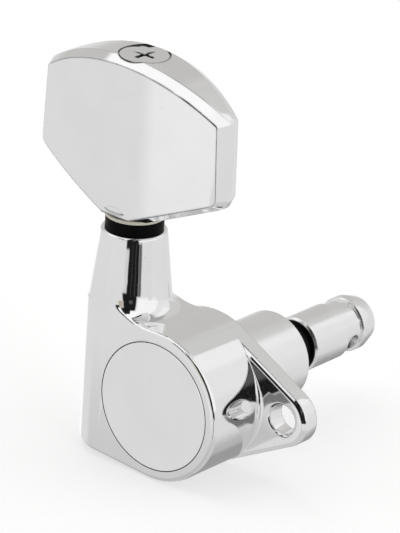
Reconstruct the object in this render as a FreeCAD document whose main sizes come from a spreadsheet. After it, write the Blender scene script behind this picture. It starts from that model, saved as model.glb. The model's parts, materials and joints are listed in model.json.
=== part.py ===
import FreeCAD, Part
import os
import re

import Sketcher
from FreeCAD import Placement, Rotation, Vector

# Guitar tuning machine: a die-cast gear case whose worm turns a string post.
# The origin lies on the post's axis at the mounting face. +Y runs along the post, away from
# the case, +Z runs up the worm shaft to the button, and +X points to the screw ear.

# Sizes, in millimetres. Names that end in share are plain ratios, the angles are in degrees.
SIZES = {
    # gear case
    "case_radius": (8.1, "round part of the case about the post's axis"),
    "barrel_radius": (4.43, "half-round side of the case round the worm"),
    "barrel_step": (0.44, "mounting face to the back of the barrel"),
    "centre_distance": (7.46, "worm axis to post axis"),
    "base_slope_share": (0.075, "fall of the case's underside for each unit towards the post"),
    "edge_round": (0.5, "rounding along the case's front"),
    "flange_thickness": (2.1, "plate that carries the screw ear"),
    "ear_reach": (11.0, "post axis to the ear's screw hole"),
    "ear_radius": (2.97, "round end of the ear"),
    "ear_chamfer": (0.42, "chamfer along the ear's outline"),
    "ear_root_round": (0.55, "hollow rounding at the ear's root"),
    "ear_blend_end_share": (0.755, "where the root's rounding ends: cosine of its half angle"),
    "ear_hole_radius": (1.62, "hole for the wood screw"),
    "ear_hole_chamfer": (0.2, "chamfer of that hole, at the front"),
    "neck_top": (16.34, "mouth of the worm barrel above the post axis"),
    "neck_mouth_radius": (3.43, "outside of the barrel at its mouth"),
    "neck_blend": (2.6, "hollow blend between neck and case top"),
    "neck_blend_shift": (0.3, "offset of its axis towards the post and towards the front"),
    "neck_blend_sink": (0.02, "how deep the blend starts inside the neck"),
    "mouth_chamfer": (0.16, "chamfer of the mouth's outer edge"),
    "boss_radius": (4.79, "boss that passes through the headstock"),
    "boss_length": (10.45, "mounting face to the boss's end"),
    "boss_chamfer": (0.36, "chamfer of the boss's end"),
    "socket_radius": (4.0, "threaded socket in the boss"),
    "socket_depth": (8.0, "depth of that socket"),
    # hollows of the case
    "cover_seat_radius": (6.885, "recess for the cover"),
    "cover_thickness": (0.8, "depth of that recess"),
    "cover_gap": (0.045, "gap round the cover"),
    "chamber_radius": (6.45, "hollow for the wheel"),
    "worm_bore_radius": (2.85, "bore for the worm and its bushes"),
    "base_wall": (1.36, "metal under that bore"),
    # clearances
    "running_gap": (0.03, "radial clearance of a turning journal"),
    "end_gap": (0.03, "end clearance of a turning piece"),
    "seat_gap": (0.02, "clearance of a piece seated in its own body"),
    # worm gear
    "tooth_module": (0.68, "axial module of the worm"),
    "wheel_teeth_count": (16, "teeth of the wheel for one start of the worm"),
    "addendum_share": (0.85, "tooth height above the pitch line in modules"),
    "dedendum_share": (1.05, "tooth depth below the pitch line in modules"),
    "flank_share": (0.364, "slope of the tooth flank: tangent of 20 degrees"),
    "gear_backlash": (0.16, "play between worm thread and wheel tooth"),
    "wheel_width": (3.0, "face width of the wheel"),
    "worm_turns_count": (2, "turns of the worm's thread"),
    "tooth_tip_half_share": (0.4218, "half the tooth at its tip in modules, with no play"),
    "tooth_base_half_share": (0.85, "half the tooth at the base circle, likewise"),
    "wheel_hand_share": (1, "1 for a right-hand thread"),
    # worm shaft, from bottom to top
    "shim_thickness": (0.3, "thrust shim under the shaft"),
    "lower_journal_radius": (1.2, "journal in the lower bush"),
    "lower_bush_length": (1.6, "height of the lower bush"),
    "collar_radius": (2.1, "shoulder above the thread"),
    "upper_journal_radius": (1.75, "journal in the upper bush"),
    "upper_bush_foot": (8.4, "post axis up to the upper bush's lower end"),
    "tang_half_width": (1.3, "half the distance across the shaft's two flats"),
    "tang_length": (9.85, "button's foot up to the shaft's end in it"),
    # stack of rings above the barrel
    "bush_flange_radius": (3.05, "flange of the upper bush"),
    "bush_flange_height": (1.42, "height of that flange"),
    "nylon_radius": (3.12, "nylon washer"),
    "nylon_height": (0.32, "nylon washer"),
    "spring_washer_radius": (2.95, "spring washer"),
    "spring_washer_height": (0.24, "spring washer"),
    # button
    "button_turn": (-1.62, "angle of the button about the worm's axis"),
    "button_half_width": (12.45, "half the width at the lower corners"),
    "button_top_half_width": (12.05, "half the width at the upper corners"),
    "button_foot_half_width": (3.343, "half the width at the foot"),
    "button_low_rise": (3.95, "foot up to the lower corners"),
    "button_side_height": (9.135, "lower corners up to the upper corners"),
    "button_crown_radius": (20.5, "arc of the crown"),
    "button_collar_top_radius": (3.55, "collar where it meets the button"),
    "button_collar_radius": (3.1, "collar at its foot"),
    "button_collar_height": (0.55, "conical part of the collar"),
    "button_half_thickness": (3.3, "half the thickness at the middle"),
    "button_edge_half_thickness": (1.34, "half the thickness at the widest corners"),
    "button_bevel_width": (1.1, "bevel round the faces, along the face"),
    "button_bevel_depth": (0.65, "bevel round the faces, into the thickness"),
    "button_top_corner": (0.8, "rounding of the upper corners"),
    "button_low_corner": (1.5, "rounding of the lower corners"),
    # button screw
    "screw_head_radius": (2.6, "countersunk head"),
    "screw_head_height": (1.5, "countersunk head"),
    "screw_head_rim": (0.15, "straight rim of the head"),
    "screw_shank_radius": (1.25, "shank"),
    "screw_length": (11.0, "overall length"),
    "screw_sink": (0.2, "head top below the crown's middle"),
    "cross_half_length": (1.35, "arm of the cross recess"),
    "cross_half_width": (0.28, "half the width of an arm"),
    "cross_depth": (0.9, "depth of the cross recess"),
    # string post
    "post_end_gap": (0.1, "post end below the wheel's face, so that the screw clamps"),
    "post_neck_radius": (2.2, "journal of the post"),
    "post_collar_radius": (3.2, "collar on the socket's floor"),
    "post_collar_height": (0.9, "collar on the socket's floor"),
    "post_shoulder": (13.6, "mounting face to the shoulder"),
    "post_radius": (3.0, "body of the post"),
    "post_shoulder_chamfer": (0.28, "chamfer of the shoulder"),
    "post_body_end": (19.1, "mounting face to the end of the body"),
    "post_waist_radius": (2.68, "waist where the string winds"),
    "post_waist_taper": (0.35, "length of the cone into the waist"),
    "post_waist_end": (21.55, "mounting face to the head"),
    "post_head_radius": (2.98, "head of the post"),
    "post_head_chamfer": (0.16, "chamfer of the head's inner edge"),
    "post_tip": (24.1, "mounting face to the tip"),
    "post_tip_radius": (2.5, "flat end of the tip"),
    "post_chamfer_start": (22.65, "mounting face to the head's cone"),
    "string_hole_radius": (0.85, "hole for the string"),
    "string_hole_turn": (20.0, "angle of that hole about the post"),
    "post_flat_half_width": (1.6, "half the distance across the flats in the wheel"),
    # post bearing and wheel fastening
    "sleeve_radius": (2.95, "outside of the post's sleeve"),
    "friction_washer_radius": (4.2, "washer between wheel and case"),
    "friction_washer_height": (0.4, "washer between wheel and case"),
    "wheel_washer_radius": (2.9, "washer under the wheel screw"),
    "wheel_washer_height": (0.3, "washer under the wheel screw"),
    "wheel_screw_head_radius": (2.1, "head of the wheel screw"),
    "cover_clearance": (0.43, "head of the wheel screw to the cover"),
    "wheel_screw_radius": (1.0, "shank of the wheel screw"),
    "wheel_screw_reach": (4.2, "length of that shank"),
    "wheel_cross_half_length": (1.1, "arm of that screw's cross recess"),
    # tool overrun
    "overrun": (1.0, "how far a cutting tool reaches past what it cuts"),
}

# How near two places are to count as the same one
SAME = 1e-4

doc = FreeCAD.newDocument("tuning_machine")
sheet = doc.addObject("Spreadsheet::Sheet", "Sizes")
for row, (alias, (size, note)) in enumerate(SIZES.items(), start=1):
    sheet.set(f"A{row}", alias)
    sheet.set(f"B{row}", str(size))
    sheet.set(f"C{row}", note)
    sheet.setAlias(f"B{row}", alias)
doc.recompute()


# Places that several pieces share, as expressions of the sizes above

CASE_DEPTH = "(2 * barrel_radius + barrel_step)"
FRONT = f"-{CASE_DEPTH}"
WORM_X = "-centre_distance"
WORM_Y = "(-barrel_radius - barrel_step)"
BARREL_BACK = "-barrel_step"
LEFT = "(-centre_distance - barrel_radius)"
SLOPE_NORM = "sqrt(1 + base_slope_share ^ 2)"
EAR_COS = "((case_radius - ear_radius) / ear_reach)"
EAR_SIN = "sqrt(1 - ((case_radius - ear_radius) / ear_reach) ^ 2)"
BORE_FLOOR = f"(base_slope_share * centre_distance - case_radius * {SLOPE_NORM} + base_wall)"
BUSH_TOP = "(neck_top + bush_flange_height)"
NYLON_TOP = "(neck_top + bush_flange_height + nylon_height)"
SPRING_FOOT = "(neck_top + bush_flange_height + nylon_height + end_gap)"
COLLAR_FOOT = "(neck_top + bush_flange_height + nylon_height + end_gap + spring_washer_height)"
SIDE_FOOT = f"({COLLAR_FOOT} + button_low_rise)"
SIDE_TOP = f"({COLLAR_FOOT} + button_low_rise + button_side_height)"
BUTTON_TOP = (f"({SIDE_TOP} + button_crown_radius"
              " - sqrt(button_crown_radius ^ 2 - button_top_half_width ^ 2))")
TANG_TOP = f"({COLLAR_FOOT} + tang_length)"
BUTTON_REACH = "max(button_half_width; button_top_half_width)"
FACE_BULGE = "(button_half_thickness - button_edge_half_thickness)"
FACE_RADIUS = f"(({BUTTON_REACH} ^ 2 / {FACE_BULGE} + {FACE_BULGE}) / 2)"
SCREW_TOP = f"({BUTTON_TOP} - screw_sink)"
SCREW_TIP = f"({BUTTON_TOP} - screw_sink - screw_length)"
JOURNAL_HOLE = "(upper_journal_radius + running_gap)"
SOCKET_FLOOR = "(boss_length - socket_depth)"
WHEEL_FRONT = f"({WORM_Y} - wheel_width / 2)"
WHEEL_HEAD = ("(barrel_radius - cover_thickness - cover_clearance - wheel_washer_height"
              " - wheel_width / 2)")
CHAMBER_BACK = f"({WORM_Y} + wheel_width / 2 + 2 * end_gap + friction_washer_height)"

# Tooth sizes of the worm gear
WORM_LEAD = "(pi * tooth_module)"
WHEEL_PITCH = "(wheel_teeth_count * tooth_module / 2)"
WHEEL_TIP = "(wheel_teeth_count * tooth_module / 2 + addendum_share * tooth_module)"
WHEEL_ROOT = "(wheel_teeth_count * tooth_module / 2 - dedendum_share * tooth_module)"
WHEEL_BASE = "(wheel_teeth_count * tooth_module / 2 / sqrt(1 + flank_share ^ 2))"
WORM_PITCH = "(centre_distance - wheel_teeth_count * tooth_module / 2)"
WORM_TIP = f"({WORM_PITCH} + addendum_share * tooth_module)"
WORM_ROOT = f"({WORM_PITCH} - dedendum_share * tooth_module)"
LEAD_SLOPE = f"(tooth_module / 2 / {WORM_PITCH})"


def full(expression):
    """Point each size's name in an expression at the sheet."""
    return re.sub(r"[a-z_]+", lambda word: "Sizes." + word[0] if word[0] in SIZES else word[0],
                  expression)


def value(expression):
    """The number that an expression of the sizes gives."""
    return float(sheet.evalExpression(full(expression)))


def near(first, second):
    return abs(first - second) < SAME


# Drawing helpers

def new_body(label):
    body = doc.addObject("PartDesign::Body", label)
    body.Label = label
    return body


def new_sketch(body, name, role, lift="0", across="0"):
    """A sketch on one of the body's origin planes, moved out along its normal and sideways."""
    sketch = body.newObject("Sketcher::SketchObject", body.Label + "_" + name)
    plane = next(item for item in body.Origin.OriginFeatures if item.Role == role)
    sketch.AttachmentSupport = [(plane, "")]
    sketch.MapMode = "FlatFace"
    sketch.setExpression("AttachmentOffset.Base.z", full(lift))
    sketch.setExpression("AttachmentOffset.Base.x", full(across))
    return sketch


def hold(sketch, kind, first, expression):
    """Add a driving dimension whose value comes from the sheet."""
    index = sketch.addConstraint(Sketcher.Constraint(kind, *first, value(expression)))
    sketch.setExpression(f"Constraints[{index}]", full(expression))


def pin(sketch, edge, end, across, up):
    """Hold a point of an edge at a place that is given by two expressions."""
    for kind, axis, expression in (("DistanceX", -2, across), ("DistanceY", -1, up)):
        if near(value(expression), 0):
            sketch.addConstraint(Sketcher.Constraint("PointOnObject", edge, end, axis))
        else:
            hold(sketch, kind, (-1, 1, edge, end), expression)


def draw_circle(sketch, radius, across="0", up="0"):
    centre = Vector(value(across), value(up), 0)
    edge = sketch.addGeometry(Part.Circle(centre, Vector(0, 0, 1), value(radius)), False)
    pin(sketch, edge, 3, across, up)
    hold(sketch, "Radius", (edge,), radius)


def end_of(second):
    """Sketcher's number for an edge's first or second end. An arc always runs to the left."""
    return 2 if second else 1


def draw_loop(sketch, corners):
    """Draw a closed outline through its corners.

    A corner is (across, up). A third entry makes the edge that leaves it an arc of that
    radius, which turns left, or right where the fourth entry says so.
    """
    places = [Vector(value(corner[0]), value(corner[1]), 0) for corner in corners]
    joints = []
    for index, corner in enumerate(corners):
        here = places[index]
        there = places[(index + 1) % len(places)]
        right = len(corner) == 4
        if len(corner) == 2:
            edge = sketch.addGeometry(Part.LineSegment(here, there), False)
        else:
            radius = value(corner[2])
            if right:
                here, there = there, here
            half = (there - here) * 0.5
            height = max(radius ** 2 - half.Length ** 2, 0) ** 0.5
            normal = Vector(-half.y, half.x, 0).normalize()
            centre = here + half + normal * height
            first = Vector(1, 0, 0).getAngle(here - centre)
            last = Vector(1, 0, 0).getAngle(there - centre)
            if here.y < centre.y:
                first = -first
            if there.y < centre.y:
                last = -last
            circle = Part.Circle(centre, Vector(0, 0, 1), radius)
            edge = sketch.addGeometry(Part.ArcOfCircle(circle, first, last), False)
        joints.append((edge, right))
    for index, (edge, right) in enumerate(joints):
        before, before_right = joints[index - 1]
        sketch.addConstraint(Sketcher.Constraint("Coincident", before, end_of(not before_right),
                                                 edge, end_of(right)))
    for corner, (edge, right) in zip(corners, joints):
        pin(sketch, edge, end_of(right), corner[0], corner[1])
        if len(corner) > 2:
            hold(sketch, "Radius", (edge,), corner[2])


def extrude(body, kind, name, sketch, length, reverse=False, both=False):
    """A Pad or a Pocket of a sketch. With both, it runs the same way to either side."""
    feature = body.newObject("PartDesign::" + kind, body.Label + "_" + name)
    feature.Profile = sketch
    feature.setExpression("Length", full(length))
    feature.Reversed = reverse
    if both:
        feature.SideType = "Symmetric"
    body.Tip = feature
    return feature


def spin(body, kind, name, sketch):
    """A Revolution or a Groove of a sketch about its upright axis."""
    feature = body.newObject("PartDesign::" + kind, body.Label + "_" + name)
    feature.Profile = sketch
    feature.ReferenceAxis = (sketch, ["V_Axis"])
    feature.Angle = 360
    body.Tip = feature
    return feature


def dress(body, kind, name, size, chosen, second=None):
    """Round or chamfer the edges of the body that the test picks out."""
    doc.recompute()
    base = body.Tip
    names = [f"Edge{index}" for index, edge in enumerate(base.Shape.Edges, start=1)
             if chosen(edge)]
    feature = body.newObject("PartDesign::" + kind, body.Label + "_" + name)
    feature.Base = (base, names)
    if kind == "Fillet":
        feature.setExpression("Radius", full(size))
    else:
        feature.setExpression("Size", full(size))
    if second:
        feature.ChamferType = "Two distances"
        feature.setExpression("Size2", full(second))
    body.Tip = feature
    return feature


def lies_at(edge, axis, place):
    """True where an edge lies in the plane of that place along an axis."""
    box = edge.BoundBox
    return near(getattr(box, axis + "Min"), place) and near(getattr(box, axis + "Max"), place)


def three_points(edge):
    """The ends of an edge and its middle."""
    middle = edge.valueAt((edge.FirstParameter + edge.LastParameter) / 2)
    return [vertex.Point for vertex in edge.Vertexes] + [middle]


def make_housing():
    plate = new_body("flange_plate")
    hull = new_sketch(plate, "outline", "XZ_Plane")
    top = (f"case_radius * {EAR_COS}", f"case_radius * {EAR_SIN}")
    ear_top = (f"ear_reach + ear_radius * {EAR_COS}", f"ear_radius * {EAR_SIN}")
    draw_loop(hull, [
        top,
        (*ear_top, "ear_radius", "right"),
        ("ear_reach + ear_radius", "0", "ear_radius", "right"),
        (ear_top[0], f"-ear_radius * {EAR_SIN}"),
        (top[0], f"-case_radius * {EAR_SIN}", "case_radius", "right"),
        ("0", "-case_radius", "case_radius", "right"),
        ("-case_radius", "0", "case_radius", "right"),
        ("0", "case_radius", "case_radius", "right"),
    ])
    extrude(plate, "Pad", "pad", hull, "flange_thickness")
    front = value("-flange_thickness")
    dress(plate, "Chamfer", "edge", "ear_chamfer", lambda edge: lies_at(edge, "Y", front))

    body = new_body("housing")
    side = new_sketch(body, "front_view", "XZ_Plane", "-overrun")
    tangent = (f"-case_radius * base_slope_share / {SLOPE_NORM}",
               f"-case_radius / {SLOPE_NORM}")
    draw_loop(side, [
        (*tangent, "case_radius"),
        ("case_radius", "0", "case_radius"),
        ("0", "case_radius"),
        (f"{LEFT} - overrun", "case_radius"),
        (f"{LEFT} - overrun",
         f"-case_radius * {SLOPE_NORM} - base_slope_share * ({LEFT} - overrun)"),
    ])
    extrude(body, "Pad", "case", side, f"{CASE_DEPTH} + 2 * overrun")

    neck = new_sketch(body, "neck_profile", "XZ_Plane", f"-{WORM_Y}", WORM_X)
    cone = "((barrel_radius - neck_mouth_radius) / (neck_top - case_radius))"
    draw_loop(neck, [
        ("0", "case_radius - neck_blend"),
        (f"barrel_radius + {cone} * neck_blend", "case_radius - neck_blend"),
        ("neck_mouth_radius", "neck_top"),
        ("0", "neck_top"),
    ])
    spin(body, "Revolution", "neck", neck)

    # The blend is a ring about an axis moved towards the post and the front, where it meets
    # the neck's surface. On the other side it stays inside the barrel.
    blend = new_sketch(body, "neck_blend_profile", "XZ_Plane", f"neck_blend_shift - {WORM_Y}",
                       f"{WORM_X} + neck_blend_shift")
    blend_radius = (f"(barrel_radius - {cone} * neck_blend - sqrt(2) * neck_blend_shift"
                    " - neck_blend_sink)")
    draw_loop(blend, [
        ("0", "case_radius - neck_blend"),
        (f"{blend_radius} + neck_blend", "case_radius - neck_blend"),
        (f"{blend_radius} + neck_blend", "case_radius", "neck_blend", "right"),
        (blend_radius, "case_radius + neck_blend"),
        ("0", "case_radius + neck_blend"),
    ])
    spin(body, "Revolution", "neck_blend", blend)

    plan = new_sketch(body, "plan_view", "XY_Plane")
    far = "case_radius + 2 * overrun"
    draw_loop(plan, [
        (WORM_X, FRONT),
        (far, FRONT),
        (far, BARREL_BACK),
        (WORM_X, BARREL_BACK, "barrel_radius"),
        (LEFT, WORM_Y, "barrel_radius"),
    ])
    draw_loop(plan, [
        (f"{LEFT} - 3 * overrun", f"{FRONT} - 3 * overrun"),
        (f"{far} + overrun", f"{FRONT} - 3 * overrun"),
        (f"{far} + overrun", f"{BARREL_BACK} + 3 * overrun"),
        (f"{LEFT} - 3 * overrun", f"{BARREL_BACK} + 3 * overrun"),
    ])
    extrude(body, "Pocket", "plan_trim", plan, "4 * case_radius + 2 * neck_top", both=True)

    front_place = value(FRONT)
    dress(body, "Fillet", "edges", "edge_round", lambda edge: lies_at(edge, "Y", front_place))

    joined = body.newObject("PartDesign::Boolean", "housing_join")
    joined.Type = "Fuse"
    joined.addObject(plate)
    body.Tip = joined

    # The hollow blend at the ear's root is a ring about an axis that is moved towards the ear,
    # so that it is widest in the middle and sinks into the case at both ends.
    shift = "(ear_root_round / (1 - ear_blend_end_share))"
    root = new_sketch(body, "ear_blend_profile", "XY_Plane", across=shift)
    wall = f"(case_radius - {shift})"
    draw_loop(root, [
        (f"{wall} - ear_root_round", "-flange_thickness / 2"),
        (f"{wall} + ear_root_round", "-flange_thickness / 2"),
        (f"{wall} + ear_root_round", "-flange_thickness", "ear_root_round"),
        (wall, "-flange_thickness - ear_root_round"),
        (f"{wall} - ear_root_round", "-flange_thickness - ear_root_round"),
    ])
    spin(body, "Revolution", "ear_blend", root)

    boss = new_sketch(body, "boss_circle", "XZ_Plane")
    draw_circle(boss, "boss_radius")
    extrude(body, "Pad", "boss", boss, "boss_length", reverse=True)
    boss_end = value("boss_length")
    dress(body, "Chamfer", "boss_edge", "boss_chamfer", lambda edge: lies_at(edge, "Y", boss_end))
    mouth = value("neck_top")
    dress(body, "Chamfer", "mouth_edge", "mouth_chamfer", lambda edge: lies_at(edge, "Z", mouth))

    # Recess for the cover, wheel chamber, bearing of the post and threaded socket
    bores = new_sketch(body, "post_bores", "XY_Plane")
    draw_loop(bores, [
        ("0", f"{FRONT} - overrun"),
        ("cover_seat_radius", f"{FRONT} - overrun"),
        ("cover_seat_radius", f"{FRONT} + cover_thickness"),
        ("chamber_radius", f"{FRONT} + cover_thickness"),
        ("chamber_radius", CHAMBER_BACK),
        ("sleeve_radius", CHAMBER_BACK),
        ("sleeve_radius", SOCKET_FLOOR),
        ("socket_radius", SOCKET_FLOOR),
        ("socket_radius", "boss_length + overrun"),
        ("0", "boss_length + overrun"),
    ])
    spin(body, "Groove", "post_bores_cut", bores)

    worm_bore = new_sketch(body, "worm_bore", "XZ_Plane", f"-{WORM_Y}", WORM_X)
    draw_loop(worm_bore, [
        ("0", BORE_FLOOR),
        ("worm_bore_radius", BORE_FLOOR),
        ("worm_bore_radius", "neck_top + overrun"),
        ("0", "neck_top + overrun"),
    ])
    spin(body, "Groove", "worm_bore_cut", worm_bore)

    ear_hole = new_sketch(body, "ear_hole", "XY_Plane", across="ear_reach")
    flare = "ear_hole_radius + ear_hole_chamfer + overrun"
    draw_loop(ear_hole, [
        ("0", "-flange_thickness - overrun"),
        (flare, "-flange_thickness - overrun"),
        ("ear_hole_radius", "ear_hole_chamfer - flange_thickness"),
        ("ear_hole_radius", "overrun"),
        ("0", "overrun"),
    ])
    spin(body, "Groove", "ear_hole_cut", ear_hole)
    return body


def on_worm_axis(body, turn="0"):
    """Stand a body on the worm's axis, turned about it."""
    body.setExpression("Placement.Base.x", full(WORM_X))
    body.setExpression("Placement.Base.y", full(WORM_Y))
    body.Placement = Placement(Vector(), Rotation(Vector(0, 0, 1), 0))
    body.setExpression("Placement.Rotation.Angle", full(turn))


def on_post_axis(body):
    """Lay a body along the post's axis: its own Z runs along +Y."""
    body.Placement = Placement(Vector(), Rotation(Vector(1, 0, 0), -90))


def make_turned(label, corners):
    """A turned piece: its half section spun about the body's own Z axis."""
    body = new_body(label)
    profile = new_sketch(body, "profile", "XZ_Plane")
    draw_loop(profile, corners)
    spin(body, "Revolution", "turned", profile)
    return body


def ring(inner, outer, low, high):
    """Corners of a plain ring's half section."""
    return [(inner, low), (outer, low), (outer, high), (inner, high)]


def cut_flats(body, name, half_width, low, high, reach):
    """Cut two flats on a turned piece, square to its local Y."""
    plan = new_sketch(body, name, "XY_Plane", low)
    for side in ("", "-"):
        draw_loop(plan, [
            (f"-({reach})", f"{side}({half_width})"),
            (reach, f"{side}({half_width})"),
            (reach, f"{side}({reach})"),
            (f"-({reach})", f"{side}({reach})"),
        ])
    extrude(body, "Pocket", name + "_cut", plan, f"({high}) - ({low})", reverse=True)


def cut_tang_hole(body, name, radius, half_width, low, high):
    """Cut a hole with two flats, which a flatted shaft drives."""
    plan = new_sketch(body, name, "XY_Plane", low)
    chord = f"sqrt(({radius}) ^ 2 - ({half_width}) ^ 2)"
    draw_loop(plan, [
        (f"-{chord}", f"-({half_width})"),
        (chord, f"-({half_width})", radius),
        (chord, half_width),
        (f"-{chord}", half_width, radius),
    ])
    extrude(body, "Pocket", name + "_cut", plan, f"({high}) - ({low})", reverse=True)


def cut_cross(body, name, top, arm, half, depth, upwards=False):
    """Cut a cross recess into the top of a screw head."""
    plan = new_sketch(body, name, "XY_Plane", top)
    draw_loop(plan, cross_corners(arm, half))
    extrude(body, "Pocket", name + "_cut", plan, depth, reverse=upwards)


def cross_corners(arm, half):
    """The twelve corners of a cross, a quarter turn at a time."""
    corners = []
    for turn in range(4):
        for across, up in ((arm, f"-{half}"), (arm, half), (half, half)):
            for _ in range(turn):
                across, up = negative(up), across
            corners.append((across, up))
    return corners


def negative(expression):
    """The expression with its sign changed."""
    return expression[1:] if expression.startswith("-") else "-" + expression


def make_gear_cover():
    body = make_turned("gear_cover", [
        ("0", FRONT),
        ("cover_seat_radius - cover_gap", FRONT),
        ("cover_seat_radius - cover_gap", f"{FRONT} + cover_thickness"),
        ("0", f"{FRONT} + cover_thickness"),
    ])
    on_post_axis(body)
    return body


def make_worm_shaft():
    """Journals, collar and threaded part, then the worm thread wound round it."""
    foot = f"({BORE_FLOOR} + shim_thickness + end_gap)"
    thread_end = f"({WORM_LEAD} * worm_turns_count / 2 + tooth_module)"
    body = make_turned("worm_shaft", [
        ("0", foot),
        ("lower_journal_radius", foot),
        ("lower_journal_radius", f"-{thread_end}"),
        (WORM_ROOT, f"-{thread_end}"),
        (WORM_ROOT, thread_end),
        ("collar_radius", thread_end),
        ("collar_radius", "upper_bush_foot - end_gap"),
        ("upper_journal_radius", "upper_bush_foot - end_gap"),
        ("upper_journal_radius", TANG_TOP),
        ("0", TANG_TOP),
    ])
    thread = new_sketch(body, "thread_profile", "XZ_Plane")
    start = f"(-{WORM_LEAD} * worm_turns_count / 2)"
    half = "(pi * tooth_module / 4 - gear_backlash / 4)"
    tip_half = f"({half} - addendum_share * tooth_module * flank_share)"
    root_half = f"({half} + (dedendum_share * tooth_module + running_gap) * flank_share)"
    inner = f"({WORM_ROOT} - running_gap)"
    draw_loop(thread, [
        (f"-{inner}", f"{start} - {root_half}"),
        (f"-{inner}", f"{start} + {root_half}"),
        (f"-{WORM_TIP}", f"{start} + {tip_half}"),
        (f"-{WORM_TIP}", f"{start} - {tip_half}"),
    ])
    helix = body.newObject("PartDesign::AdditiveHelix", "worm_shaft_thread")
    helix.Profile = thread
    helix.ReferenceAxis = (thread, ["V_Axis"])
    helix.Mode = "pitch-height-angle"
    helix.setExpression("Pitch", full(WORM_LEAD))
    helix.setExpression("Height", full(f"{WORM_LEAD} * worm_turns_count"))
    body.Tip = helix
    cut_flats(body, "tang", "tang_half_width", f"{COLLAR_FOOT} - spring_washer_height",
              f"{TANG_TOP} + overrun", "2 * upper_journal_radius")
    hole = new_sketch(body, "screw_hole", "XY_Plane", TANG_TOP)
    draw_circle(hole, "screw_shank_radius + seat_gap")
    extrude(body, "Pocket", "screw_hole_cut", hole,
            f"{TANG_TOP} - {SCREW_TIP} + screw_shank_radius")
    on_worm_axis(body, "button_turn")
    return body


def make_button():
    body = new_body("button")
    front = new_sketch(body, "front_view", "XZ_Plane")
    draw_loop(front, [
        ("button_foot_half_width", COLLAR_FOOT),
        ("button_half_width", SIDE_FOOT),
        ("button_top_half_width", SIDE_TOP, "button_crown_radius"),
        ("-button_top_half_width", SIDE_TOP),
        ("-button_half_width", SIDE_FOOT),
        ("-button_foot_half_width", COLLAR_FOOT),
    ])
    extrude(body, "Pad", "slab", front, "2 * button_half_thickness + overrun", both=True)
    corner_top = value(SIDE_TOP)
    corner_low = value(SIDE_FOOT)

    def runs_through(edge, level):
        return lies_at(edge, "Z", level) and near(edge.BoundBox.XLength, 0)

    dress(body, "Fillet", "top_corners", "button_top_corner",
          lambda edge: runs_through(edge, corner_top))
    dress(body, "Fillet", "low_corners", "button_low_corner",
          lambda edge: runs_through(edge, corner_low))

    # Both broad faces are arcs seen from above.
    plan = new_sketch(body, "plan_view", "XY_Plane")
    reach = f"({BUTTON_REACH} + overrun)"
    edge_half = (f"(button_half_thickness - {FACE_RADIUS}"
                 f" + sqrt({FACE_RADIUS} ^ 2 - {reach} ^ 2))")
    outside = "(2 * button_half_thickness + overrun)"
    draw_loop(plan, [
        (f"-{reach}", f"-{outside}"),
        (reach, f"-{outside}"),
        (reach, f"-{edge_half}", FACE_RADIUS, "right"),
        (f"-{reach}", f"-{edge_half}"),
    ])
    draw_loop(plan, [
        (f"-{reach}", edge_half, FACE_RADIUS, "right"),
        (reach, edge_half),
        (reach, outside),
        (f"-{reach}", outside),
    ])
    extrude(body, "Pocket", "faces", plan, f"4 * {BUTTON_TOP}", both=True)

    def on_face(edge):
        """True for the outline of a broad face, apart from its short foot."""
        radius = value(FACE_RADIUS)
        offset = radius - value("button_half_thickness")
        on_arc = all(near((point.x ** 2 + (abs(point.y) + offset) ** 2) ** 0.5, radius)
                     for point in three_points(edge))
        return on_arc and not lies_at(edge, "Z", value(COLLAR_FOOT))

    dress(body, "Chamfer", "bevel", "button_bevel_width", on_face, "button_bevel_depth")

    collar = new_sketch(body, "collar_profile", "XZ_Plane")
    draw_loop(collar, [
        ("0", COLLAR_FOOT),
        ("button_collar_radius", COLLAR_FOOT),
        ("button_collar_top_radius", f"{COLLAR_FOOT} + button_collar_height"),
        ("button_half_thickness - button_bevel_depth",
         f"{COLLAR_FOOT} + 2 * button_collar_height + button_bevel_width"),
        ("0", f"{COLLAR_FOOT} + 2 * button_collar_height + button_bevel_width"),
    ])
    spin(body, "Revolution", "collar", collar)

    bore = new_sketch(body, "screw_bore", "XZ_Plane")
    seat = "(screw_head_radius + seat_gap)"
    shank = "(screw_shank_radius + seat_gap)"
    draw_loop(bore, [
        ("0", TANG_TOP),
        (shank, TANG_TOP),
        (shank, f"{SCREW_TOP} - screw_head_height"),
        (seat, f"{SCREW_TOP} - screw_head_rim"),
        (seat, f"{BUTTON_TOP} + overrun"),
        ("0", f"{BUTTON_TOP} + overrun"),
    ])
    spin(body, "Groove", "screw_bore_cut", bore)
    cut_tang_hole(body, "tang_hole", "upper_journal_radius + seat_gap",
                  "tang_half_width + seat_gap", f"{COLLAR_FOOT} - overrun",
                  f"{TANG_TOP} + seat_gap")
    on_worm_axis(body, "button_turn")
    return body


def make_button_screw():
    body = make_turned("button_screw", [
        ("0", SCREW_TIP),
        ("screw_shank_radius", SCREW_TIP),
        ("screw_shank_radius", f"{SCREW_TOP} - screw_head_height"),
        ("screw_head_radius", f"{SCREW_TOP} - screw_head_rim"),
        ("screw_head_radius", SCREW_TOP),
        ("0", SCREW_TOP),
    ])
    cut_cross(body, "recess", SCREW_TOP, "cross_half_length", "cross_half_width", "cross_depth")
    on_worm_axis(body, "button_turn")
    return body


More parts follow.
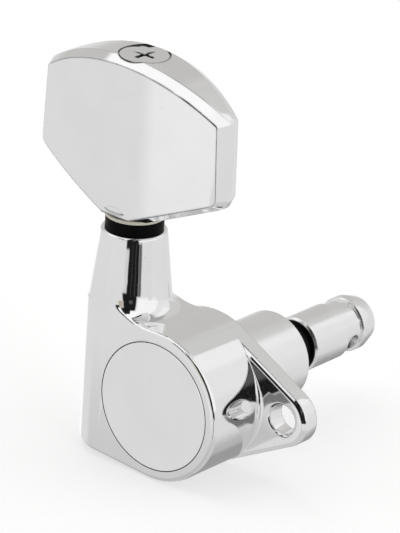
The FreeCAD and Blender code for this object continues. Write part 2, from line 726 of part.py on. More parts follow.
def make_rings():
    """The bushes, washers and the post's sleeve: everything that is a plain ring."""
    made = []
    bush = make_turned("worm_bush", [
        (JOURNAL_HOLE, "upper_bush_foot"),
        ("worm_bore_radius - seat_gap", "upper_bush_foot"),
        ("worm_bore_radius - seat_gap", "neck_top"),
        ("bush_flange_radius", "neck_top"),
        ("bush_flange_radius", BUSH_TOP),
        (JOURNAL_HOLE, BUSH_TOP),
    ])
    made.append(bush)
    made.append(make_turned("nylon_washer",
                            ring(JOURNAL_HOLE, "nylon_radius", BUSH_TOP, NYLON_TOP)))
    made.append(make_turned("spring_washer", ring("upper_journal_radius + seat_gap",
                                                  "spring_washer_radius", SPRING_FOOT,
                                                  COLLAR_FOOT)))
    made.append(make_turned("lower_bush", ring(
        "lower_journal_radius + running_gap", "worm_bore_radius - seat_gap",
        f"{BORE_FLOOR} + shim_thickness", f"{BORE_FLOOR} + shim_thickness + lower_bush_length")))
    made.append(make_turned("thrust_shim", ring(
        "0", "worm_bore_radius - seat_gap", BORE_FLOOR, f"{BORE_FLOOR} + shim_thickness")))
    for body in made:
        on_worm_axis(body)
    sleeve = make_turned("post_sleeve", ring("post_neck_radius + running_gap",
                                             "sleeve_radius - seat_gap", CHAMBER_BACK,
                                             SOCKET_FLOOR))
    washer = make_turned("friction_washer", ring(
        "post_neck_radius + running_gap", "friction_washer_radius",
        f"{CHAMBER_BACK} - friction_washer_height", CHAMBER_BACK))
    under_head = make_turned("wheel_washer", ring(
        "wheel_screw_radius + seat_gap", "wheel_washer_radius",
        f"{WHEEL_FRONT} - wheel_washer_height", WHEEL_FRONT))
    for body in (sleeve, washer, under_head):
        on_post_axis(body)
    return made + [sleeve, washer, under_head]


def make_string_post():
    body = make_turned("string_post", [
        ("0", f"{WHEEL_FRONT} + post_end_gap"),
        ("post_neck_radius", f"{WHEEL_FRONT} + post_end_gap"),
        ("post_neck_radius", f"{SOCKET_FLOOR} + end_gap"),
        ("post_collar_radius", f"{SOCKET_FLOOR} + end_gap"),
        ("post_collar_radius", f"{SOCKET_FLOOR} + end_gap + post_collar_height"),
        ("post_neck_radius", f"{SOCKET_FLOOR} + end_gap + post_collar_height"),
        ("post_neck_radius", "post_shoulder"),
        ("post_radius - post_shoulder_chamfer", "post_shoulder"),
        ("post_radius", "post_shoulder + post_shoulder_chamfer"),
        ("post_radius", "post_body_end"),
        ("post_waist_radius", "post_body_end + post_waist_taper"),
        ("post_waist_radius", "post_waist_end"),
        ("post_head_radius - post_head_chamfer", "post_waist_end"),
        ("post_head_radius", "post_waist_end + post_head_chamfer"),
        ("post_head_radius", "post_chamfer_start"),
        ("post_tip_radius", "post_tip"),
        ("0", "post_tip"),
    ])
    cut_flats(body, "wheel_flats", "post_flat_half_width", f"{WHEEL_FRONT} - overrun",
              f"{WHEEL_FRONT} + wheel_width", "2 * post_neck_radius")
    hole = new_sketch(body, "screw_hole", "XY_Plane", f"{WHEEL_FRONT} - overrun")
    draw_circle(hole, "wheel_screw_radius + seat_gap")
    extrude(body, "Pocket", "screw_hole_cut", hole,
            "overrun + wheel_screw_reach + wheel_screw_radius", reverse=True)
    # The string hole crosses the waist.
    cross = new_sketch(body, "string_hole", "XY_Plane",
                       "(post_body_end + post_waist_taper + post_waist_end) / 2")
    cross.AttachmentOffset = Placement(Vector(), Rotation(Vector(0, 0, 1), 0))
    cross.setExpression("AttachmentOffset.Rotation.Angle", full("string_hole_turn"))
    draw_loop(cross, [
        ("-post_radius - overrun", "0"),
        ("post_radius + overrun", "0"),
        ("post_radius + overrun", "string_hole_radius"),
        ("-post_radius - overrun", "string_hole_radius"),
    ])
    groove = body.newObject("PartDesign::Groove", "string_post_hole")
    groove.Profile = cross
    groove.ReferenceAxis = (cross, ["H_Axis"])
    groove.Angle = 360
    body.Tip = groove
    on_post_axis(body)
    return body


def make_worm_wheel():
    """A helical wheel: one tooth gap is lofted through the rim and repeated round it."""
    body = make_turned("worm_wheel", [
        ("0", WHEEL_FRONT),
        (WHEEL_TIP, WHEEL_FRONT),
        (WHEEL_TIP, f"{WHEEL_FRONT} + wheel_width"),
        ("0", f"{WHEEL_FRONT} + wheel_width"),
    ])
    cut_tang_hole(body, "drive_hole", "post_neck_radius + seat_gap",
                  "post_flat_half_width + seat_gap", f"{WHEEL_FRONT} - overrun",
                  f"{WHEEL_FRONT} + wheel_width + overrun")
    step = "(180 / wheel_teeth_count)"
    degrees = "(180 / pi)"
    # A worm of an even number of turns has a gap at its middle, so the wheel has a tooth there.
    first = f"({step} * (1 + cos(180 * worm_turns_count)) / 2)"
    gap_angles = {}
    for place, radius, half_share in (("tip", WHEEL_TIP, "tooth_tip_half_share"),
                                      ("base", WHEEL_BASE, "tooth_base_half_share")):
        half = f"({half_share} * tooth_module - gear_backlash / 4)"
        gap_angles[place] = f"({step} - {half} / {radius} * {degrees})"
    sections = []
    for name, side in (("gap_front", "-"), ("gap_back", "")):
        level = f"{WORM_Y} {side or '+'} (wheel_width / 2 + overrun)"
        gap = new_sketch(body, name, "XY_Plane", level)
        gap.AttachmentOffset = Placement(Vector(), Rotation(Vector(0, 0, 1), 0))
        gap.setExpression("AttachmentOffset.Rotation.Angle", full(
            f"{first} + wheel_hand_share * ({side}(wheel_width / 2 + overrun)) * {LEAD_SLOPE}"
            f" / {WHEEL_PITCH} * {degrees}"))
        tip = (f"-{WHEEL_TIP} * cos({gap_angles['tip']})",
               f"{WHEEL_TIP} * sin({gap_angles['tip']})")
        base = (f"-{WHEEL_BASE} * cos({gap_angles['base']})",
                f"{WHEEL_BASE} * sin({gap_angles['base']})")
        root = (f"-{WHEEL_ROOT} * cos({gap_angles['base']})",
                f"{WHEEL_ROOT} * sin({gap_angles['base']})")
        outer = (f"-({WHEEL_TIP} + tooth_module) * cos({gap_angles['tip']})",
                 f"({WHEEL_TIP} + tooth_module) * sin({gap_angles['tip']})")
        draw_loop(gap, [
            (outer[0], f"-({outer[1]})"),
            (tip[0], f"-({tip[1]})"),
            (base[0], f"-({base[1]})"),
            (root[0], f"-({root[1]})"),
            root,
            base,
            tip,
            outer,
        ])
        sections.append(gap)
    cut = body.newObject("PartDesign::SubtractiveLoft", "worm_wheel_gap")
    cut.Profile = sections[0]
    cut.Sections = [sections[1]]
    cut.Ruled = True
    body.Tip = cut
    doc.recompute()
    ring_of = body.newObject("PartDesign::PolarPattern", "worm_wheel_gaps")
    ring_of.Originals = [cut]
    axis = next(item for item in body.Origin.OriginFeatures if item.Role == "Z_Axis")
    ring_of.Axis = (axis, [""])
    ring_of.Angle = 360
    ring_of.setExpression("Occurrences", full("wheel_teeth_count"))
    body.Tip = ring_of
    on_post_axis(body)
    return body


def make_wheel_screw():
    foot = f"({WHEEL_FRONT} - wheel_washer_height)"
    top = f"({WHEEL_FRONT} - wheel_washer_height - {WHEEL_HEAD})"
    body = make_turned("wheel_screw", [
        ("0", top),
        ("wheel_screw_head_radius", top),
        ("wheel_screw_head_radius", foot),
        ("wheel_screw_radius", foot),
        ("wheel_screw_radius", f"{WHEEL_FRONT} + wheel_screw_reach"),
        ("0", f"{WHEEL_FRONT} + wheel_screw_reach"),
    ])
    cut_cross(body, "recess", top, "wheel_cross_half_length", "cross_half_width",
              f"{WHEEL_HEAD} / 2", upwards=True)
    on_post_axis(body)
    return body


doc.recompute()
nodes = [make_housing(), make_gear_cover(), make_worm_shaft(), make_button(),
         make_button_screw(), *make_rings(), make_string_post(), make_worm_wheel(),
         make_wheel_screw()]
doc.recompute()

for item in doc.Objects:
    for trouble in ("Invalid", "Error"):
        if trouble in item.State:
            raise RuntimeError(f"{item.Label}: {item.State}")
for node in nodes:
    if node.Shape.isNull() or not node.Shape.isValid():
        raise RuntimeError(f"{node.Label}: no valid shape")

os.makedirs("parts", exist_ok=True)
for node in nodes:
    node.Shape.exportStep(f"parts/{node.Label}.step")
    print(node.Label, len(node.Shape.Solids), round(node.Shape.Volume, 3))
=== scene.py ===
import json
import math

import bpy
from mathutils import Matrix, Vector


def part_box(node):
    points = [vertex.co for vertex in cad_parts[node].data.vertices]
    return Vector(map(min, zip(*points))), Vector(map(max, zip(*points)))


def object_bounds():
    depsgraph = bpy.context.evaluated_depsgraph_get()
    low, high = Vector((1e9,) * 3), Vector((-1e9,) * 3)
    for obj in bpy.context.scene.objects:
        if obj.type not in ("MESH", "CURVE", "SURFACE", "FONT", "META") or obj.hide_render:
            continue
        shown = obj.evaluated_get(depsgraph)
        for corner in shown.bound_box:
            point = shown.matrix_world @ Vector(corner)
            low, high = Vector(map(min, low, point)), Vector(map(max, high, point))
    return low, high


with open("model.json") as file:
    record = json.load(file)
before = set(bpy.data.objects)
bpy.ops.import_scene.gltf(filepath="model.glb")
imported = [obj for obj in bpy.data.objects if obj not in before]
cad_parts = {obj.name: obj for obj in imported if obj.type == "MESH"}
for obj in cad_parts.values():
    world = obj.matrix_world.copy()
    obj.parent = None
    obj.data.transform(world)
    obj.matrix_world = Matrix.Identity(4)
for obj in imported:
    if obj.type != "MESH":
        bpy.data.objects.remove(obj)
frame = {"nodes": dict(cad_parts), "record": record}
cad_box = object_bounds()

MM = 0.001
scene = bpy.context.scene
scene.view_settings.view_transform = "Standard"


# Camera: turned about the object, raised and rolled as the photograph was taken

CAMERA_AZIMUTH = math.radians(38.36)
CAMERA_HEIGHT = math.radians(22.85)
CAMERA_ROLL = math.radians(3.70)
CAMERA_DISTANCE = 575 * MM
NEAREST, FARTHEST = 0.01, 20.0       # what the camera sees, in metres
SENSOR = 36.0                        # in millimetres
IMAGE_WIDTH, IMAGE_HEIGHT = 400, 533
PIXELS_PER_MM = 9.821                # at the camera's distance
AXIS_PIXEL = (153.11, 406.88)        # where the post's axis meets the case's front
CASE_FRONT = -9.3 * MM


def add_camera():
    azimuth, height, roll = CAMERA_AZIMUTH, CAMERA_HEIGHT, CAMERA_ROLL
    back = Vector((math.sin(azimuth) * math.cos(height),
                   -math.cos(azimuth) * math.cos(height), math.sin(height)))
    level = Vector((math.cos(azimuth), math.sin(azimuth), 0))
    upright = back.cross(level)
    right = math.cos(roll) * level + math.sin(roll) * upright
    up = math.cos(roll) * upright - math.sin(roll) * level
    aim_right = (AXIS_PIXEL[0] - IMAGE_WIDTH / 2) / PIXELS_PER_MM
    aim_up = (IMAGE_HEIGHT / 2 - AXIS_PIXEL[1]) / PIXELS_PER_MM
    place = back * CAMERA_DISTANCE - (aim_right * right + aim_up * up) * MM
    place += Vector((0, CASE_FRONT, 0))
    camera = bpy.data.objects.new("camera", bpy.data.cameras.new("camera"))
    camera.data.sensor_width = SENSOR
    camera.data.lens = PIXELS_PER_MM * CAMERA_DISTANCE / MM / IMAGE_HEIGHT * SENSOR
    camera.data.clip_start = NEAREST
    camera.data.clip_end = FARTHEST
    turn = Matrix((right, up, back)).transposed()
    camera.matrix_world = Matrix.Translation(place) @ turn.to_4x4()
    scene.collection.objects.link(camera)
    scene.camera = camera


# Helpers for shader nodes

COLOUR_SOCKETS = (6, 7)              # the two colours that a Mix node takes
COLOUR_OUTPUT = 2                    # and the one that it gives


class Shader:
    """Adds nodes to one tree. A number or colour goes on the socket, a node's output is linked.

    A share is a number from 0 to 1 that says how much of something a place has.
    """

    def __init__(self, tree):
        self.tree = tree
        tree.nodes.clear()

    def put(self, socket, given):
        if isinstance(given, bpy.types.NodeSocket):
            self.tree.links.new(given, socket)
        else:
            socket.default_value = given

    def add(self, kind, inputs=None, **settings):
        node = self.tree.nodes.new("ShaderNode" + kind)
        for name, setting in settings.items():
            setattr(node, name, setting)
        for name, given in (inputs or {}).items():
            self.put(node.inputs[name], given)
        return node

    def math(self, operation, first, second=None):
        node = self.add("Math", {0: first}, operation=operation)
        if second is not None:
            self.put(node.inputs[1], second)
        return node.outputs[0]

    def sum(self, first, second):
        return self.math("ADD", first, second)

    def both(self, first, second):
        """The product of two numbers, and so what two shares have in common."""
        return self.math("MULTIPLY", first, second)

    def either(self, first, second):
        """The larger of two shares."""
        return self.math("MAXIMUM", first, second)

    def ramp(self, given, low, high, to_low=0.0, to_high=1.0):
        """A smooth step from to_low at low to to_high at high."""
        node = self.add("MapRange", {"Value": given, "From Min": low, "From Max": high,
                                     "To Min": to_low, "To Max": to_high},
                        interpolation_type="SMOOTHSTEP")
        return node.outputs["Result"]

    def above(self, given, limit, fade):
        """0 up to the limit, then rising to 1 over the fade."""
        return self.ramp(given, limit, limit + fade)

    def below(self, given, limit, fade):
        """1 up to the limit, then falling to 0 over the fade."""
        return self.ramp(given, limit, limit + fade, 1.0, 0.0)

    def blend(self, share, first, second):
        """The first colour, with a share of the second."""
        node = self.add("Mix", {"Factor": share}, data_type="RGBA")
        for number, colour in zip(COLOUR_SOCKETS, (first, second)):
            self.put(node.inputs[number], colour)
        return node.outputs[COLOUR_OUTPUT]

    def noise(self, place, scale, detail, **more):
        """Noise between 0 and 1, with about as many spots to a metre as its scale."""
        inputs = {"Vector": place, "Scale": scale, "Detail": detail, **more}
        return self.add("TexNoise", inputs).outputs["Fac"]

    def bump(self, height, strength, depth, normal=None):
        """The surface's direction after a bump, which goes on top of an earlier one if given."""
        node = self.add("Bump", {"Height": height, "Strength": strength, "Distance": depth})
        if normal is not None:
            self.put(node.inputs["Normal"], normal)
        return node.outputs[0]


def grey(level):
    return (level, level, level, 1)


# Studio: soft light from a pale room. Azimuth 0 is the front of the case, 90 the ear's side.

WALL = 0.75
WARM_WALL = (0.64, 0.636, 0.62, 1)
WARM_SHADE = (0.57, 0.563, 0.545, 1)
TAN = (0.5, 0.45, 0.36, 1)

# Level or colour, azimuths and heights in degrees, and how soft the borders are. A later panel
# stands before the earlier ones, and one that spans azimuth 180 is given from both sides.
PANELS = [
    # Ground in shade
    (0.61, (-200, 200), (-110, -34), 7),
    # Light from low in front, from the ear's side and from behind
    (0.90, (-32, 8), (-23.6, -14), 4),
    (0.78, (100, 150), (-14, 5), 4),
    (0.98, (61, 127), (-1, 90), 4),
    (0.83, (127, 173), (6, 62), 4),
    (0.92, (148, 173), (31, 58), 4),
    # Warm walls behind, with a darker band above
    (WARM_WALL, (169.5, 230), (10, 78), 2),
    (WARM_WALL, (-230, -166), (10, 78), 2),
    (WARM_SHADE, (-166, -92), (-2, 62), 9),
    (0.40, (174, 230), (49, 72), 3),
    (0.40, (-200, -150), (50, 72), 3),
    (0.36, (124, 176), (61, 72), 3),
    # Lamps: low at the back left, high at the left and overhead
    (1.04, (-136, -108), (-32, -14), 4),
    (1.04, (-132, -50), (38.5, 110), 2.5),
    (1.04, (-135, 70), (60, 110), 6),
    (1.04, (-200, 200), (76, 110), 5),
    # Darker ground behind
    (0.48, (156, 230), (-100, -30), 8),
    (0.48, (-230, -150), (-100, -30), 8),
    (0.34, (172, 230), (-100, -28), 6),
    (0.34, (-230, -145), (-100, -28), 6),
    # Black screens at the front right, with paler gaps in them
    (0.012, (9, 41), (46, 74), 1.5),
    (0.012, (18, 57), (-8, 57), 2),
    (0.1, (36, 45.5), (6, 27), 3),
    (0.012, (28.5, 60), (-13, -3), 1),
    (0.12, (60, 68), (-13, -3), 2),
    (0.05, (38.5, 40), (-13, -3), 1),
    (0.05, (49, 51.5), (-13, -3), 1),
    # In front: a tan board, black screens and a lamp above it, and a dim patch low down
    (TAN, (3, 17), (10, 44), 3),
    (0.02, (-26, -1), (43, 60), 2),
    (0.02, (-8, 5), (35, 46), 1.5),
    (1.04, (0, 7), (46, 60), 1.5),
    (0.2, (33, 45), (-34, -14), 2),
]


def window(shader, azimuth, height, sides, ends, soft):
    """1 inside a span of azimuth and height and 0 outside it, with soft borders."""
    share = 1.0
    for angle, (low, high) in ((azimuth, sides), (height, ends)):
        share = shader.both(share, shader.above(angle, low - soft, 2 * soft))
        share = shader.both(share, shader.below(angle, high - soft, 2 * soft))
    return share


def add_world():
    """The room that lights the object. The camera sees plain white in its place."""
    world = bpy.data.worlds.new("studio")
    world.use_nodes = True
    scene.world = world
    shader = Shader(world.node_tree)
    split = shader.add("SeparateXYZ", {0: shader.add("TexCoord").outputs["Generated"]})
    front = shader.math("MULTIPLY", split.outputs["Y"], -1.0)
    azimuth = shader.math("DEGREES", shader.math("ARCTAN2", split.outputs["X"], front))
    height = shader.math("DEGREES", shader.math("ARCSINE", split.outputs["Z"]))
    colour = grey(WALL)
    for level, sides, ends, soft in PANELS:
        area = window(shader, azimuth, height, sides, ends, soft)
        colour = shader.blend(area, colour, level if isinstance(level, tuple) else grey(level))
    light = shader.add("Background", {"Color": colour})
    seen = shader.add("Background", {"Color": grey(1.0)})
    mix = shader.add("MixShader", {0: shader.add("LightPath").outputs["Is Camera Ray"],
                                   1: light.outputs[0], 2: seen.outputs[0]})
    shader.add("OutputWorld", {"Surface": mix.outputs[0]})


def new_material(name):
    material = bpy.data.materials.new(name)
    material.use_nodes = True
    return material, Shader(material.node_tree)


# Floor

FLOOR_HALF = 3.0                     # half its side, in metres
FLOOR_GREY = 0.80
FLOOR_LIFT = 0.42                    # added where the camera sees it, to make it as good as white


def add_floor(level):
    """A pale floor that keeps the object's shadow. Metal mirrors the room instead of it."""
    mesh = bpy.data.meshes.new("floor")
    corners = [(FLOOR_HALF * x, FLOOR_HALF * y, 0) for x, y in ((-1, -1), (1, -1), (1, 1), (-1, 1))]
    mesh.from_pydata(corners, [], [(0, 1, 2, 3)])
    floor = bpy.data.objects.new("floor", mesh)
    floor.location.z = level
    floor.visible_glossy = False
    scene.collection.objects.link(floor)
    material, shader = new_material("floor")
    seen = shader.add("LightPath").outputs["Is Camera Ray"]
    diffuse = shader.add("BsdfDiffuse", {"Color": grey(FLOOR_GREY)})
    lift = shader.add("Emission", {"Color": grey(1.0),
                                   "Strength": shader.math("MULTIPLY", seen, FLOOR_LIFT)})
    total = shader.add("AddShader", {0: diffuse.outputs[0], 1: lift.outputs[0]})
    shader.add("OutputMaterial", {"Surface": total.outputs[0]})
    mesh.materials.append(material)


# Edges, rounded as polishing and plating leave them

JOIN_DISTANCE = 0.001 * MM
SHARP_ANGLE = math.radians(22.0)
EDGE_SEGMENTS = 3
EDGE_WIDTHS = {
    "housing": 0.12 * MM,
    "button": 0.16 * MM,
    "string_post": 0.1 * MM,
    "gear_cover": 0.07 * MM,
    "button_screw": 0.06 * MM,
}


def smooth_group():
    """Geometry nodes that join a node's faces and shade them as one smooth surface."""
    group = bpy.data.node_groups.new("join_smooth", "GeometryNodeTree")
    group.interface.new_socket("Geometry", in_out="INPUT", socket_type="NodeSocketGeometry")
    group.interface.new_socket("Geometry", in_out="OUTPUT", socket_type="NodeSocketGeometry")
    start = group.nodes.new("NodeGroupInput")
    join = group.nodes.new("GeometryNodeMergeByDistance")
    join.inputs["Distance"].default_value = JOIN_DISTANCE
    smooth = group.nodes.new("GeometryNodeSetShadeSmooth")
    end = group.nodes.new("NodeGroupOutput")
    group.links.new(start.outputs[0], join.inputs[0])
    group.links.new(join.outputs[0], smooth.inputs[0])
    group.links.new(smooth.outputs[0], end.inputs[0])
    return group


def soften(node, width, group):
    """Round the sharp edges of a CAD node."""
    join = node.modifiers.new("join", "NODES")
    join.node_group = group
    bevel = node.modifiers.new("edges", "BEVEL")
    bevel.width = width
    bevel.segments = EDGE_SEGMENTS
    bevel.limit_method = "ANGLE"
    bevel.angle_limit = SHARP_ANGLE
    bevel.use_clamp_overlap = True
    node.modifiers.new("normals", "WEIGHTED_NORMAL")


# Places on the metal with painted shade and painted dark reflections, and one that is not polished

# Lengths start where the post's axis meets the mounting face, and Y follows the post.
# A fade is the length over which a place ends.
# Painted shade inside the boss's hollow
BOSS_HOLLOW = 4.02 * MM              # radius of the hollow that the post stands in
BOSS_HOLLOW_FADE = 0.08 * MM
BOSS_START = -0.2 * MM
BOSS_START_FADE = 0.2 * MM
MATT_START = -0.3 * MM
MATT_START_FADE = 0.6 * MM

EAR_FACE = -2.1 * MM                 # front of the ear's floor, along Y
# A painted dark reflection line along the ear's rim
EAR_LINE = (0.02 * MM, 0.17 * MM)    # where the line starts and ends behind that
EAR_LINE_FADE = 0.05 * MM
EAR_LINE_BOTTOM = 0.8 * MM
EAR_LINE_BOTTOM_FADE = 0.2 * MM
EAR_LINE_INSIDE = 6.3 * MM
EAR_LINE_INSIDE_FADE = 0.3 * MM

# Painted shade in the gap around the cover
COVER_GAP = 0.08 * MM
GAP_FADE = 0.04 * MM
COVER_GAP_DEPTH = 0.3 * MM
COVER_GAP_DEPTH_FADE = 0.1 * MM

# Painted shade on the case's front, darker towards its bottom
FRONT_SHADE_SHARE = 0.18                    # of the dark colour, at the bottom of the front
FRONT_SHADE_BOTTOM, FRONT_SHADE_TOP = -10.0 * MM, 8.0 * MM
FRONT_SHADE_LIMIT = -9.25 * MM
FRONT_SHADE_LIMIT_FADE = 0.15 * MM

# Painted shade on the thin part of the post
JOURNAL = 2.95 * MM                  # the thin part of the post is inside this radius
JOURNAL_FADE = 0.05 * MM
JOURNAL_END = 13.62 * MM
JOURNAL_END_FADE = 0.08 * MM

# Painted shade in the screw's cross recess and on its head's rim
RECESS_SHADE_SHARE = 0.95
RECESS_DARK, RECESS_LIGHT = 0.4 * MM, 0.05 * MM    # below the top of the head
HEAD_RIM = 0.06 * MM
# Painted shade in the gap around the screw's head
SEAT_GAP = 0.05 * MM
SEAT_SHADE_SHARE = 0.75
SEAT_DEPTH = 4.0 * MM
SEAT_DEPTH_FADE = 0.1 * MM


def along(shader, place, axis):
    return shader.add("SeparateXYZ", {0: place}).outputs[axis]


def from_axis(shader, place, axes, centre=(0, 0)):
    """Distance, measured along two axes, from a line through a centre."""
    sides = [shader.math("SUBTRACT", along(shader, place, axis), middle)
             for axis, middle in zip(axes, centre)]
    squares = [shader.math("MULTIPLY", side, side) for side in sides]
    return shader.math("SQRT", shader.sum(*squares))


def round_node(name, axes):
    """Centre and radius of a round node, seen along the axis that isn't given."""
    low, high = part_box(name)
    centre = tuple((low["XYZ".index(axis)] + high["XYZ".index(axis)]) / 2 for axis in axes)
    return centre, (high[0] - low[0]) / 2


def boss_hollow_shade(shader, place):
    """Painted shade: 1 inside the boss's hollow."""
    inside = shader.below(from_axis(shader, place, "XZ"), BOSS_HOLLOW, BOSS_HOLLOW_FADE)
    return shader.both(inside, shader.above(along(shader, place, "Y"),
                                            BOSS_START, BOSS_START_FADE))


def cover_gap_shade(shader, place):
    """Painted shade: 1 in the narrow gap around the cover of the gear case."""
    centre, radius = round_node("gear_cover", "XZ")
    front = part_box("gear_cover")[0][1]
    near = shader.below(from_axis(shader, place, "XZ", centre), radius + COVER_GAP, GAP_FADE)
    return shader.both(near, shader.below(along(shader, place, "Y"),
                                          front + COVER_GAP_DEPTH, COVER_GAP_DEPTH_FADE))


def ear_rim_reflection(shader, place):
    """Painted dark reflection: 1 along the inner edge of the ear's sloping rim."""
    depth = along(shader, place, "Y")
    start, end = EAR_LINE
    band = shader.both(shader.above(depth, EAR_FACE + start, EAR_LINE_FADE),
                       shader.below(depth, EAR_FACE + end, EAR_LINE_FADE))
    upper = shader.above(along(shader, place, "Z"), EAR_LINE_BOTTOM, EAR_LINE_BOTTOM_FADE)
    outer = shader.above(along(shader, place, "X"), EAR_LINE_INSIDE, EAR_LINE_INSIDE_FADE)
    return shader.both(band, shader.both(upper, outer))


def front_bottom_shade(shader, place):
    """Painted shade on the case's front, darker towards its bottom, where it reaches its full
    share.
    """
    lower = shader.ramp(along(shader, place, "Z"), FRONT_SHADE_BOTTOM, FRONT_SHADE_TOP, FRONT_SHADE_SHARE, 0.0)
    return shader.both(lower, shader.below(along(shader, place, "Y"),
                                           FRONT_SHADE_LIMIT, FRONT_SHADE_LIMIT_FADE))


def case_painted_shade(shader, place):
    """Painted shade and painted dark reflections on the casting: the cover's gap, the ear's rim,
    the boss's hollow and the bottom of the front.
    """
    seams = shader.either(cover_gap_shade(shader, place), ear_rim_reflection(shader, place))
    return shader.either(seams, shader.either(boss_hollow_shade(shader, place),
                                              front_bottom_shade(shader, place)))


def boss_side(shader, place):
    """1 on the side that the headstock hides, which is plated but not polished."""
    return shader.above(along(shader, place, "Y"), MATT_START, MATT_START_FADE)


def post_journal_shade(shader, place):
    """Painted shade: 1 on the thin part of the post between its collar and its shoulder."""
    thin = shader.below(from_axis(shader, place, "XZ"), JOURNAL, JOURNAL_FADE)
    return shader.both(thin, shader.below(along(shader, place, "Y"),
                                          JOURNAL_END, JOURNAL_END_FADE))


def cross_recess_shade(shader, place):
    """Painted shade: 1 down in the cross recess of the button's screw and on the head's cone."""
    centre, radius = round_node("button_screw", "XY")
    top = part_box("button_screw")[1][2]
    recess = shader.ramp(along(shader, place, "Z"), top - RECESS_DARK, top - RECESS_LIGHT,
                         RECESS_SHADE_SHARE, 0.0)
    return shader.either(recess, shader.above(from_axis(shader, place, "XY", centre),
                                              radius - HEAD_RIM, GAP_FADE))


def screw_gap_shade(shader, place):
    """Painted shade in the narrow gap around the screw's head, up to the share given for it."""
    centre, radius = round_node("button_screw", "XY")
    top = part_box("button_screw")[1][2]
    near = shader.below(from_axis(shader, place, "XY", centre), radius + SEAT_GAP, GAP_FADE)
    depth = top - SEAT_DEPTH
    upper = shader.ramp(along(shader, place, "Z"), depth, depth + SEAT_DEPTH_FADE,
                        0.0, SEAT_SHADE_SHARE)
    return shader.both(near, upper)


# Materials

CHROME = (0.93, 0.93, 0.935)
# The colour of painted shade and painted dark reflections on the metal
PAINTED_DARK = (0.03, 0.028, 0.026, 1)
MATT_ROUGHNESS = 0.24

# What the noise does on metal. A scale is in spots to the metre.
CLOUD_SCALE = 240.0
CLOUD_RANGE = (0.3, 0.7)             # the part of the noise that counts, from none to all
CLOUD_ROUGHNESS = 0.25               # what a cloud adds, as a share of the metal's roughness
CLOUD_COLOUR = 0.972                 # brightness between the clouds
PIT_SCALE = 2600.0
PIT_RANGE = (0.72, 0.78)
PIT_ROUGHNESS = 0.12
PIT_COLOUR = 0.6
PIT_STAIN = 0.35
MARK_SCALE = 7000.0
MARK_RANGE = (0.3, 0.75)
MARK_SPREAD = (0.8, 1.35)            # of the roughness, from the smooth to the marked places
MATT_RANGE = (0.25, 0.8)
MATT_SPREAD = (0.85, 1.15)
DARK_ROUGHNESS = 0.3
SWELL_SCALE = 380.0
SWELL_DEPTH = 0.02 * MM
MARK_DEPTH = 0.003 * MM
PIT_DEPTH = 0.004 * MM
PIT_STRENGTH = 0.25

# And on plastic
FLOW_SCALE = 700.0
FLOW_RANGE = (0.3, 0.7)
FLOW_SPREAD = (0.85, 1.15)
FLOW_STRENGTH = 0.15
FLOW_DEPTH = 0.01 * MM
GRAIN_SCALE = 9000.0
GRAIN_STRENGTH = 0.2
GRAIN_DEPTH = 0.003 * MM

EDGE_SAMPLES = 8
# Where the painted dark reflection along the edges is full, and where it ends
EDGE_DARK, EDGE_LIGHT = 0.93, 0.965  # cosines of the angle between the rounding and the face

# Stretch of the polishing marks along X, Y and Z
MARKS_UP = (1.0, 1.0, 0.12)
MARKS_ROUND = (1.0, 0.08, 1.0)
MARKS_ACROSS = (0.1, 1.0, 1.0)


def times(level, factors):
    return [level * factor for factor in factors]


def painted_edge_reflection(shader, colour, rounded, share):
    """A painted dark reflection: a fine dark line where the rounding turns farthest away from the
    face.
    """
    face = shader.add("NewGeometry").outputs["Normal"]
    facing = shader.add("VectorMath", {0: rounded, 1: face}, operation="DOT_PRODUCT")
    line = shader.ramp(facing.outputs["Value"], EDGE_DARK, EDGE_LIGHT, share, 0.0)
    return shader.blend(line, colour, PAINTED_DARK)


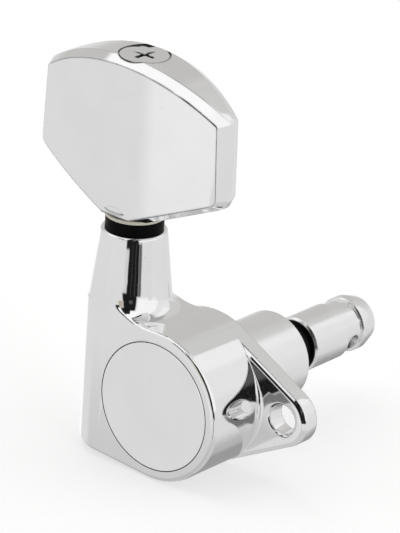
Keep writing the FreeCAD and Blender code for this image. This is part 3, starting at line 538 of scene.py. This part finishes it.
def metal(name, tint=CHROME, roughness=0.04, grain=0.03, waves=0.12, lines=MARKS_UP,
          dark=None, matt=None, edge=0.0, edge_line=0.0):
    """Plated or machined metal: an uneven surface, polishing marks and small pits.

    lines is the stretch of the marks along X, Y and Z. dark gives the share of painted shade
    on a place, and matt the share that is not polished. edge is the radius that polishing leaves
    on the sharp edges, and edge_line the share of a painted dark reflection along the sharpest of
    them.
    """
    material, shader = new_material(name)
    place = shader.add("TexCoord").outputs["Object"]
    stretch = shader.add("Mapping", {"Vector": place, "Scale": lines}).outputs[0]
    marks = shader.noise(stretch, MARK_SCALE, 3.0, Roughness=0.7)
    clouds = shader.ramp(shader.noise(place, CLOUD_SCALE, 5.0), *CLOUD_RANGE)
    pits = shader.ramp(shader.noise(place, PIT_SCALE, 2.0), *PIT_RANGE)

    rough = shader.ramp(marks, *MARK_RANGE, *times(roughness, MARK_SPREAD))
    rough = shader.sum(rough, shader.both(clouds, roughness * CLOUD_ROUGHNESS))
    rough = shader.sum(rough, shader.both(pits, PIT_ROUGHNESS))
    colour = shader.blend(clouds, (*times(CLOUD_COLOUR, tint), 1), (*tint, 1))
    stained = (*times(PIT_COLOUR, tint), 1)
    colour = shader.blend(shader.both(pits, PIT_STAIN), colour, stained)
    if matt is not None:
        share = matt(shader, place)
        matt_rough = shader.ramp(marks, *MATT_RANGE, *times(MATT_ROUGHNESS, MATT_SPREAD))
        polished = shader.both(rough, shader.math("SUBTRACT", 1.0, share))
        rough = shader.sum(polished, shader.both(share, matt_rough))
    if dark is not None:
        share = dark(shader, place)
        # Painted shade and painted dark reflections: the colour turns dark over the mask's share
        colour = shader.blend(share, colour, PAINTED_DARK)
        rough = shader.sum(rough, shader.both(share, DARK_ROUGHNESS))

    normal = None
    if edge:
        normal = shader.add("Bevel", {"Radius": edge}, samples=EDGE_SAMPLES).outputs[0]
        # Painted dark reflection along the sharpest edges
        if edge_line:
            colour = painted_edge_reflection(shader, colour, normal, edge_line)
    normal = shader.bump(shader.noise(place, SWELL_SCALE, 2.0), waves, SWELL_DEPTH, normal)
    normal = shader.bump(marks, grain, MARK_DEPTH, normal)
    normal = shader.bump(pits, PIT_STRENGTH, PIT_DEPTH, normal)
    surface = shader.add("BsdfPrincipled", {"Base Color": colour, "Metallic": 1.0,
                                            "Roughness": rough, "Normal": normal})
    shader.add("OutputMaterial", {"Surface": surface.outputs[0]})
    return material


def plastic(name, colour, roughness=0.4, specular=0.5):
    """Moulded plastic: a faint flow pattern and a fine grain."""
    material, shader = new_material(name)
    place = shader.add("TexCoord").outputs["Object"]
    flow = shader.noise(place, FLOW_SCALE, 4.0, Distortion=0.6)
    pale = tuple(min(1.0, part * 1.12 + 0.002) for part in colour)
    tone = shader.blend(flow, (*colour, 1), (*pale, 1))
    rough = shader.ramp(flow, *FLOW_RANGE, *times(roughness, FLOW_SPREAD))
    normal = shader.bump(flow, FLOW_STRENGTH, FLOW_DEPTH)
    grain = shader.noise(place, GRAIN_SCALE, 2.0)
    normal = shader.bump(grain, GRAIN_STRENGTH, GRAIN_DEPTH, normal)
    body = shader.add("BsdfPrincipled", {"Base Color": tone, "Roughness": rough,
                                         "Specular IOR Level": specular, "Normal": normal})
    shader.add("OutputMaterial", {"Surface": body.outputs[0]})
    return material


# dark gives a metal its painted shade, and edge_line its painted dark reflection along the edges
METALS = {
    "chrome_case": dict(dark=case_painted_shade, matt=boss_side, grain=0.02, edge=0.2 * MM),
    "chrome_cover": dict(roughness=0.13, grain=0.05, waves=0.05, lines=MARKS_ACROSS),
    "chrome_button": dict(roughness=0.05, lines=MARKS_ACROSS, dark=screw_gap_shade,
                          edge=0.36 * MM, edge_line=0.97),
    "chrome_screw": dict(tint=(0.90, 0.90, 0.905), roughness=0.07, dark=cross_recess_shade),
    "chrome_post": dict(roughness=0.19, grain=0.02, lines=MARKS_ROUND, dark=post_journal_shade),
    "steel_shaft": dict(tint=(0.60, 0.60, 0.61), roughness=0.24, grain=0.1),
    "dark_steel": dict(tint=(0.15, 0.15, 0.155), roughness=0.3, grain=0.1),
    "bronze": dict(tint=(0.56, 0.40, 0.22), roughness=0.28, grain=0.08),
    "brass": dict(tint=(0.75, 0.60, 0.30), roughness=0.2, grain=0.08),
}
PLASTICS = {
    "black_plastic": dict(colour=(0.003, 0.003, 0.003), roughness=0.42, specular=0.04),
    "cream_nylon": dict(colour=(0.80, 0.77, 0.66), roughness=0.45),
}


def dress_nodes():
    """Give every CAD node its material, and the chromed ones their rounded edges."""
    looks = {name: metal(name, **settings) for name, settings in METALS.items()}
    looks.update({name: plastic(name, **settings) for name, settings in PLASTICS.items()})
    for part in frame["record"]["subparts"]:
        node = frame["nodes"][part["node"]]
        node.data.materials.clear()
        node.data.materials.append(looks[part["material_slot"]])
    group = smooth_group()
    for name, width in EDGE_WIDTHS.items():
        soften(frame["nodes"][name], width, group)


add_camera()
add_world()
add_floor(cad_box[0][2])
dress_nodes()
